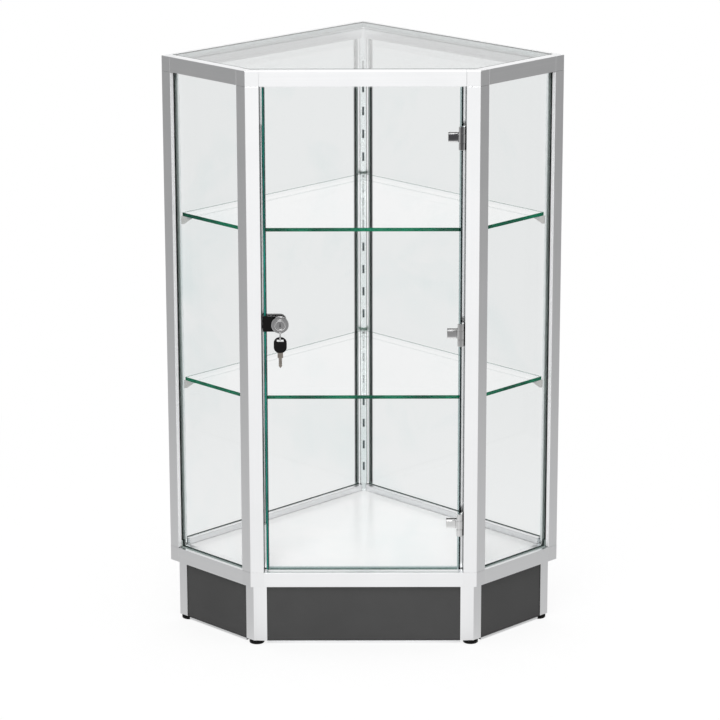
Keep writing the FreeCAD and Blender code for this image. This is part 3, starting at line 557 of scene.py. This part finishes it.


# PVC glazing channel, dull: grey-green, with a dark outer lip of painted shade, darkest on the
# short sides, and the other way round along the sill
gasket = {
    "shortShade": "#0E1010",
    "longShade": "#3A4342",
    "pale": "#A9B5B2",
    "paleDark": "#98A4A1",
    "sillShade": "#4E5B58",
    "shortLip": 9.2,         # mm behind the frame's face, where the outer lip ends
    "longLip": 4.4,
    "sill": 20.0,
    "roughness": (0.45, 0.6),
}


def makeGasket():
    material, tree = newMaterial("PVC glazing channel with painted gap shade")
    place = addNode(tree, "TexCoord").outputs["Object"]
    split = addNode(tree, "SeparateXYZ", {"Vector": place}).outputs
    postCorners = [v.co for v in nodes["left_post"].data.vertices]
    corner = max(postCorners, key=lambda c: abs(c.x))
    # the glazed sides stand at 45 degrees, so |x| + |y - corner| is the same along each face
    beyond = addNode(tree, "Math", {0: split["Y"], 1: corner.y}, operation="SUBTRACT")
    outwards = addNode(tree, "Math", {
        0: addNode(tree, "Math", {0: split["X"]}, operation="ABSOLUTE"),
        1: addNode(tree, "Math", {0: beyond}, operation="ABSOLUTE"),
    }, operation="ADD")
    short, long = [
        abs(corner.x) - gasket[lip] * mm * math.sqrt(2) for lip in ("shortLip", "longLip")
    ]
    onShort = addNode(tree, "Math", {0: split["Y"], 1: corner.y}, operation="LESS_THAN")
    lipEnd = addNode(tree, "Math", {
        0: onShort, 1: short - long, 2: long,
    }, operation="MULTIPLY_ADD")
    outer = addNode(tree, "Math", {0: outwards, 1: lipEnd}, operation="GREATER_THAN")
    sillTop = reach("glazing_gaskets", "z")[0] + gasket["sill"] * mm
    sill = addNode(tree, "Math", {0: split["Z"], 1: sillTop}, operation="LESS_THAN")
    # painted shade: the dark tone lies on the outer lip, and on the inside along the sill
    unlike = addNode(tree, "Math", {0: outer, 1: sill}, operation="SUBTRACT")
    shadeShare = addNode(tree, "Math", {0: unlike}, operation="ABSOLUTE")
    upright = addNode(tree, "Mix", {
        0: onShort, 6: linear(gasket["longShade"]), 7: linear(gasket["shortShade"]),
    }, data_type="RGBA")
    shadeTone = addNode(tree, "Mix", {
        0: sill, 6: upright, 7: linear(gasket["sillShade"]),
    }, data_type="RGBA")
    grain = addNode(tree, "TexNoise", {
        "Vector": place, "Scale": 1000 / rubber["grain"], "Detail": 2.0,
    })
    dust = addNode(tree, "TexNoise", {
        "Vector": place, "Scale": 1000 / rubber["dustPatch"], "Detail": 5.0,
    })
    dusty = addNode(tree, "Mix", {
        0: dust, 6: linear(gasket["paleDark"]), 7: linear(gasket["pale"]),
    }, data_type="RGBA")
    colour = addNode(tree, "Mix", {0: shadeShare, 6: dusty, 7: shadeTone}, data_type="RGBA")
    low, high = gasket["roughness"]
    rough = addNode(tree, "MapRange", {"Value": grain, "To Min": low, "To Max": high})
    bump = addNode(tree, "Bump", {
        "Height": grain, "Strength": rubber["grainStrength"],
        "Distance": rubber["grainDepth"] * mm,
    })
    shader = addNode(tree, "BsdfPrincipled", {
        "Base Color": colour, "Roughness": rough, "IOR": rubber["ior"],
        "Specular IOR Level": rubber["gloss"], "Normal": bump,
    })
    addNode(tree, "OutputMaterial", {"Surface": shader})
    return material


dress(makeGasket(), "glazing_gaskets")


# melamine-faced board: a smooth sheet finish with a faint orange peel
board = {
    "peel": 2.2,             # mm
    "peelDepth": 0.02,
    "peelStrength": 0.3,
    "scuff": 90.0,           # mm
    "gloss": 0.3,
    "ior": 1.5,
    "unevenness": 0.15,
}
boardFaces = {
    # pressed on a smooth plate: clean white that shows the shelves and posts a little
    "white melamine board": {"dark": "#FAFCFC", "light": "#FFFFFF", "roughness": 0.22},
    # pressed on a matt plate: flat grey with hardly a highlight
    "dark grey melamine board": {"dark": "#3F3F3F", "light": "#464646", "roughness": 0.55},
}


def makeBoard(name):
    face = boardFaces[name]
    material, tree = newMaterial(name)
    place = addNode(tree, "TexCoord").outputs["Object"]
    peel = addNode(tree, "TexNoise", {
        "Vector": place, "Scale": 1000 / board["peel"], "Detail": 1.0,
    })
    scuffs = addNode(tree, "TexNoise", {
        "Vector": place, "Scale": 1000 / board["scuff"], "Detail": 5.0, "Roughness": 0.6,
    })
    tone = addNode(tree, "MapRange", {"Value": scuffs, "From Min": 0.3, "From Max": 0.7})
    colour = addNode(tree, "Mix", {
        0: tone, 6: linear(face["dark"]), 7: linear(face["light"]),
    }, data_type="RGBA")
    rough = addNode(tree, "MapRange", {
        "Value": scuffs, "From Min": 0.3, "From Max": 0.7,
        "To Min": face["roughness"] * (1 - board["unevenness"]),
        "To Max": face["roughness"] * (1 + board["unevenness"]),
    })
    bump = addNode(tree, "Bump", {
        "Height": peel, "Strength": board["peelStrength"], "Distance": board["peelDepth"] * mm,
    })
    shader = addNode(tree, "BsdfPrincipled", {
        "Base Color": colour, "Roughness": rough, "IOR": board["ior"],
        "Specular IOR Level": board["gloss"], "Normal": bump,
    })
    addNode(tree, "OutputMaterial", {"Surface": shader})
    return material


kickPanels = named("kick_panel")
dress(makeBoard("white melamine board"), "deck")
dress(makeBoard("dark grey melamine board"), *kickPanels)
breakEdges(edgeBreaks["boards"], "deck", *kickPanels)
print("boards and seals done")


# plated and polished parts: colour from the metal, blur from the finish
metal = {
    "cloud": 11.1,           # mm
    "scratchStrength": 0.2,
    "unevenness": 0.3,
}
# mm, real scratches are finer than the grain here and drawn coarser to show
metalParts = {
    # bright dipped and anodised: pale and clean beside the satin posts
    "bright anodised strip": {
        "light": "#E9EEEE", "dark": "#DDE4E4", "roughness": 0.28, "grain": 0.8, "depth": 0.01,
    },
    # bright zinc over pressed steel: light grey with soft clouds
    "zinc-plated steel": {
        "light": "#CBCBC9", "dark": "#AEAEAC", "roughness": 0.3, "grain": 0.5, "depth": 0.01,
    },
    # nickel over a stamped blank, rubbed by use: warm grey, darker in patches
    "nickel-plated key steel": {
        "light": "#9C958D", "dark": "#5F5A55", "roughness": 0.3, "grain": 0.5, "depth": 0.02,
    },
}


def makeMetal(name):
    part = metalParts[name]
    material, tree = newMaterial(name)
    place = addNode(tree, "TexCoord").outputs["Object"]
    scratches = addNode(tree, "TexNoise", {
        "Vector": place, "Scale": 1000 / part["grain"], "Detail": 3.0,
    })
    clouds = addNode(tree, "TexNoise", {
        "Vector": place, "Scale": 1000 / metal["cloud"], "Detail": 3.0,
    })
    colour = addNode(tree, "Mix", {
        0: clouds, 6: linear(part["dark"]), 7: linear(part["light"]),
    }, data_type="RGBA")
    rough = addNode(tree, "MapRange", {
        "Value": scratches,
        "To Min": part["roughness"] * (1 - metal["unevenness"]),
        "To Max": part["roughness"] * (1 + metal["unevenness"]),
    })
    bump = addNode(tree, "Bump", {
        "Height": scratches, "Strength": metal["scratchStrength"], "Distance": part["depth"] * mm,
    })
    shader = addNode(tree, "BsdfPrincipled", {
        "Base Color": colour, "Metallic": 1.0, "Roughness": rough, "Normal": bump,
    })
    addNode(tree, "OutputMaterial", {"Surface": shader})
    return material


# polished chrome plate, near mirror, with painted reflections in its colour: flats darker higher up
# and lighter near the floor, slopes near white
chrome = {
    # painted reflection: high and low are the flat tones up top and near the floor, slope the near
    # white of faces turned from the eye
    "high": "#464648",
    "low": "#CFCFCF",
    "slope": "#F4F4F4",
    "slopeRange": (0.02, 0.25),
    "floorReach": (0.2, 0.7),     # metres above the floor
    # painted shade: black, not metal, on the strip of the leaves beside the post
    "plate": "#060606",
    "plateWidth": 2.4,            # mm beside the post, painted black as shade
    "recess": 2.0,                # mm, gaps this narrow turn dark
    "recessShade": "#050505",
    "recessRange": (0.35, 0.7),
    "scratch": 0.588,             # mm, real polishing marks are finer and drawn coarser to show
    "scratchDepth": 0.01,
    "scratchStrength": 0.2,
    "gloss": 0.1,
    "roughness": (0.07, 0.15),
}


def makeChrome(name, shadeBesidePost=False):
    material, tree = newMaterial(name)
    place = addNode(tree, "TexCoord").outputs["Object"]
    split = addNode(tree, "SeparateXYZ", {"Vector": place}).outputs
    # painted reflection: lighter towards the floor, darker higher up, near white where a face turns
    # from the eye
    low, high = chrome["floorReach"]
    height = addNode(tree, "MapRange", {"Value": split["Z"], "From Min": low, "From Max": high})
    flat = addNode(tree, "Mix", {
        0: height, 6: linear(chrome["low"]), 7: linear(chrome["high"]),
    }, data_type="RGBA")
    facing = addNode(tree, "LayerWeight", {"Blend": 0.5}).outputs["Facing"]
    start, end = chrome["slopeRange"]
    slope = addNode(tree, "MapRange", {
        "Value": facing, "From Min": start, "From Max": end,
    }, interpolation_type="SMOOTHSTEP")
    colour = addNode(tree, "Mix", {0: slope, 6: flat, 7: linear(chrome["slope"])}, data_type="RGBA")
    openness = addNode(tree, "AmbientOcclusion", {
        "Distance": chrome["recess"] * mm,
    }, samples=16, only_local=True).outputs["AO"]
    start, end = chrome["recessRange"]
    shade = addNode(tree, "MapRange", {"Value": openness, "From Min": start, "From Max": end})
    colour = addNode(tree, "Mix", {
        0: shade, 6: linear(chrome["recessShade"]), 7: colour,
    }, data_type="RGBA")
    bare = 1.0
    # painted shade: the strip of the leaves beside the post is black and not metal
    if shadeBesidePost:
        shadeStart = reach("hinge_leaves", "x")[1] - chrome["plateWidth"] * mm
        bare = addNode(tree, "Math", {0: split["X"], 1: shadeStart}, operation="LESS_THAN")
        colour = addNode(tree, "Mix", {
            0: bare, 6: linear(chrome["plate"]), 7: colour,
        }, data_type="RGBA")
    scratches = addNode(tree, "TexNoise", {
        "Vector": place, "Scale": 1000 / chrome["scratch"], "Detail": 3.0,
    })
    least, most = chrome["roughness"]
    rough = addNode(tree, "MapRange", {"Value": scratches, "To Min": least, "To Max": most})
    bump = addNode(tree, "Bump", {
        "Height": scratches, "Strength": chrome["scratchStrength"],
        "Distance": chrome["scratchDepth"] * mm,
    })
    shader = addNode(tree, "BsdfPrincipled", {
        "Base Color": colour, "Metallic": bare, "Roughness": rough,
        "Specular IOR Level": chrome["gloss"], "Normal": bump,
    })
    addNode(tree, "OutputMaterial", {"Surface": shader})
    return material


dress(makeChrome("chrome knuckles with painted shade beside the post", shadeBesidePost=True), "hinge_leaves")
polishedChrome = makeChrome("polished chrome")
dress(polishedChrome, "hinge_clips", "lock_collar", "lock_plug", "key_ring")


# cast faces over the outer plates of the hinge clips
clipCover = {
    "thickness": 2.2,        # mm
    "curve": 3.0,
    "height": 14.8,
    "overhang": 0.4,
    "softEdge": 0.7,
    "softAngle": 50,         # degrees
    "softSteps": 3,
    "knuckleGap": 0.6,
    "plateWidth": 4.0,
    "hingeSpacing": 50.0,    # the hinges stand further apart than this
    "steps": 8,
}
# half-round ring around the turning plug
lockBezel = {
    "inner": 6.6,            # mm
    "outer": 9.4,
    "proud": 1.3,
    "rows": 14,
    "turns": 72,
}


def cornersOf(name):
    return [nodes[name].matrix_world @ v.co for v in nodes[name].data.vertices]


def span(values):
    return min(values), max(values)


def addPiece(name, build, body):
    mesh = bpy.data.meshes.new(name)
    work = bmesh.new()
    build(work)
    bmesh.ops.recalc_face_normals(work, faces=work.faces)
    for face in work.faces:
        face.smooth = True
    work.to_mesh(mesh)
    work.free()
    item = bpy.data.objects.new(name, mesh)
    scene.collection.objects.link(item)
    mesh.materials.append(polishedChrome)
    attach(item, body)
    return item


def coverOutline():
    # flat in the middle and rounded off towards the top and bottom
    half = clipCover["height"] / 2
    steps = clipCover["steps"]
    shares = [i / steps for i in range(-steps, steps + 1)]
    rise = [max(0.0, 1 - abs(t) ** clipCover["curve"]) ** 0.5 for t in shares]
    return [(half * t, clipCover["thickness"] * r) for t, r in zip(shares, rise)]


def hingeMiddles():
    heights = sorted(c.z for c in cornersOf("hinge_clips"))
    groups = [[heights[0]]]
    for z in heights[1:]:
        if z - groups[-1][-1] > clipCover["hingeSpacing"] * mm:
            groups.append([])
        groups[-1].append(z)
    return [(group[0] + group[-1]) / 2 for group in groups]


def buildCovers(work):
    clips = cornersOf("hinge_clips")
    left, right = span([c.x for c in clips])
    pinX = sum(span([c.x for c in cornersOf("hinge_pins")])) / 2
    ends = (left - clipCover["overhang"] * mm, 2 * pinX - right - clipCover["knuckleGap"] * mm)
    plate = min(c.y for c in clips if c.x < left + clipCover["plateWidth"] * mm)
    for middle in hingeMiddles():
        first, second = [
            [work.verts.new((x, plate - out * mm, middle + up * mm)) for up, out in coverOutline()]
            for x in ends
        ]
        for i in range(len(first) - 1):
            work.faces.new((first[i], first[i + 1], second[i + 1], second[i]))
        for column in (first, second):
            work.faces.new(column)
        work.faces.new((first[0], first[-1], second[-1], second[0]))


def buildBezel(work):
    collar = cornersOf("lock_collar")
    front = min(c.y for c in collar)
    x = sum(span([c.x for c in collar])) / 2
    z = sum(span([c.z for c in collar])) / 2
    middle = (lockBezel["inner"] + lockBezel["outer"]) / 2
    half = (lockBezel["outer"] - lockBezel["inner"]) / 2
    angles = [2 * math.pi * j / lockBezel["turns"] for j in range(lockBezel["turns"])]
    rings = []
    for i in range(lockBezel["rows"]):
        bend = 2 * math.pi * i / lockBezel["rows"]
        radius = (middle + half * math.cos(bend)) * mm
        y = front - lockBezel["proud"] * math.sin(bend) * mm
        rings.append([
            work.verts.new((x + radius * math.cos(a), y, z + radius * math.sin(a)))
            for a in angles
        ])
    for i, ring in enumerate(rings):
        following = rings[(i + 1) % len(rings)]
        for j in range(len(ring)):
            k = (j + 1) % len(ring)
            work.faces.new((ring[j], ring[k], following[k], following[j]))


covers = addPiece("clip_covers", buildCovers, "door")
softEnds = covers.modifiers.new("soft ends", "BEVEL")
softEnds.width = clipCover["softEdge"] * mm
softEnds.segments = clipCover["softSteps"]
softEnds.limit_method = "ANGLE"
softEnds.angle_limit = math.radians(clipCover["softAngle"])
addPiece("lock_bezel", buildBezel, "door")
dress(makeMetal("bright anodised strip"), "shelf_standards")
dress(makeMetal("zinc-plated steel"), "lower_brackets", "upper_brackets", "hinge_pins",
      "post_screws", "clip_screws", "lock_bolt")
dress(makeMetal("nickel-plated key steel"), "key_blade")
dress(makeRubber("black enamel"), "lock_case")
dress(makeRubber("moulded black plastic"), "key_head")
breakEdges(edgeBreaks["hinges"], "hinge_clips", "hinge_leaves")
breakEdges(edgeBreaks["case"], "lock_case")
print("small metal done")


# matt white background paper, rolled: no shine, and a soft shadow under the cabinet
studio = {
    "floorSize": 60.0,            # metres
    "floor": "#FCFCFC",
    "behindGlass": "#E9EBEB",
    "frontNear": 0.93,            # painted reflection on the floor that polished faces see, near the cabinet and far off
    "frontFar": 1.0,
    "sideNear": 0.6,              # painted reflection, greyer towards both sides
    "sideFar": 0.34,
    "sideRange": (0.35, 0.85),
    "near": 0.2,                  # metres
    "far": 3.3,
    "ceiling": 0.35,
    "ceilingRange": (0.45, 0.75),
    "dome": 0.72,
    "evenRange": (0.5, 1.3),      # metres, between these the paper turns evenly white
    "evenShare": (0.85, 1.0),
    "sheets": 24,                 # sheets of glass that can lie behind each other
}
lamps = {
    "front soft box": {"place": (-0.7, -3.4, 2.9), "size": (2.6, 1.8), "watts": 55.0},
    "top soft box": {"place": (0.3, 0.2, 3.2), "size": (2.4, 2.4), "watts": 30.0},
}
lampTarget = (0.0, 0.0, 0.5)


def aimAt(item, target):
    item.rotation_euler = (Vector(target) - item.location).to_track_quat("-Z", "Y").to_euler()


def makeLamps():
    for name, lamp in lamps.items():
        data = bpy.data.lights.new(name, "AREA")
        data.shape = "RECTANGLE"
        data.size, data.size_y = lamp["size"]
        data.energy = lamp["watts"]
        item = bpy.data.objects.new(name, data)
        item.location = lamp["place"]
        aimAt(item, lampTarget)
        scene.collection.objects.link(item)


def studioTone(tree, direction, frontTone, sideTone):
    # light in front of and behind the cabinet, greyer to the left and right
    split = addNode(tree, "SeparateXYZ", {"Vector": direction}).outputs
    side = addNode(tree, "Math", {0: split["X"]}, operation="ABSOLUTE")
    flat = addNode(tree, "CombineXYZ", {"X": split["X"], "Y": split["Y"]})
    length = addNode(tree, "VectorMath", {0: flat}, operation="LENGTH").outputs["Value"]
    start, end = studio["sideRange"]
    return addNode(tree, "MapRange", {
        "Value": addNode(tree, "Math", {0: side, 1: length}, operation="DIVIDE"),
        "From Min": start, "From Max": end, "To Min": frontTone, "To Max": sideTone,
    }, interpolation_type="SMOOTHSTEP")


def floorTone(tree, place):
    away = addNode(tree, "VectorMath", {0: place}, operation="LENGTH").outputs["Value"]
    front, side = [
        addNode(tree, "MapRange", {
            "Value": away, "From Min": studio["near"], "From Max": studio["far"],
            "To Min": studio[near], "To Max": studio[far],
        })
        for near, far in (("frontNear", "frontFar"), ("sideNear", "sideFar"))
    ]
    return studioTone(tree, place, front, side)


def skyTone(tree, direction):
    # the same tone, darker towards the top, seen by mirrored rays only
    around = studioTone(tree, direction, studio["frontFar"], studio["sideFar"])
    height = addNode(tree, "SeparateXYZ", {"Vector": direction}).outputs["Z"]
    start, end = studio["ceilingRange"]
    shade = addNode(tree, "MapRange", {
        "Value": height, "From Min": start, "From Max": end,
        "To Min": 1.0, "To Max": studio["ceiling"],
    })
    return addNode(tree, "Math", {0: around, 1: shade}, operation="MULTIPLY")


def seenTone(tree, path):
    # white in the open, a little greyer through glass
    through = addNode(tree, "Math", {
        0: path.outputs["Transparent Depth"], 1: 0.5,
    }, operation="GREATER_THAN")
    return addNode(tree, "Mix", {
        0: through, 6: white, 7: linear(studio["behindGlass"]),
    }, data_type="RGBA")


def seenDirectly(tree, path):
    # by the camera, or through something it looks into
    return addNode(tree, "Math", {
        0: path.outputs["Is Camera Ray"], 1: path.outputs["Is Transmission Ray"],
    }, operation="MAXIMUM")


def makeWorld():
    world = bpy.data.worlds.new("studio")
    scene.world = world
    world.use_nodes = True
    tree = world.node_tree
    tree.nodes.clear()
    path = addNode(tree, "LightPath")
    direction = addNode(tree, "TexCoord").outputs["Generated"]
    dome = addNode(tree, "Background", {"Color": white, "Strength": studio["dome"]})
    reflected = addNode(tree, "Background", {"Color": white, "Strength": skyTone(tree, direction)})
    seen = addNode(tree, "Background", {"Color": seenTone(tree, path)})
    mirrored = addNode(tree, "MixShader", {
        0: path.outputs["Is Glossy Ray"], 1: dome, 2: reflected,
    })
    final = addNode(tree, "MixShader", {0: seenDirectly(tree, path), 1: mirrored, 2: seen})
    addNode(tree, "OutputWorld", {"Surface": final})


def makeFloor():
    half = studio["floorSize"] / 2
    corners = [(-half, -half, 0), (half, -half, 0), (half, half, 0), (-half, half, 0)]
    mesh = bpy.data.meshes.new("floor")
    mesh.from_pydata(corners, [], [(0, 1, 2, 3)])
    floor = bpy.data.objects.new("floor", mesh)
    scene.collection.objects.link(floor)
    material, tree = newMaterial("white paper floor")
    path = addNode(tree, "LightPath")
    place = addNode(tree, "TexCoord").outputs["Object"]
    paper = addNode(tree, "BsdfDiffuse", {"Color": linear(studio["floor"])})
    seen = addNode(tree, "Emission", {"Color": seenTone(tree, path)})
    # painted reflection: for mirrored rays the floor glows with the studio tone
    reflected = addNode(tree, "Emission", {"Strength": floorTone(tree, place)})
    # plain paper near the cabinet, where its shadow falls, and evenly white further out
    away = addNode(tree, "VectorMath", {0: place}, operation="LENGTH").outputs["Value"]
    start, end = studio["evenRange"]
    low, high = studio["evenShare"]
    share = addNode(tree, "MapRange", {
        "Value": away, "From Min": start, "From Max": end, "To Min": low, "To Max": high,
    })
    plain = addNode(tree, "MixShader", {0: share, 1: paper, 2: seen})
    mirrored = addNode(tree, "MixShader", {
        0: path.outputs["Is Glossy Ray"], 1: paper, 2: reflected,
    })
    final = addNode(tree, "MixShader", {0: seenDirectly(tree, path), 1: mirrored, 2: plain})
    addNode(tree, "OutputMaterial", {"Surface": final})
    mesh.materials.append(material)


makeLamps()
makeWorld()
makeFloor()
scene.cycles.transparent_max_bounces = studio["sheets"]
print("studio done")
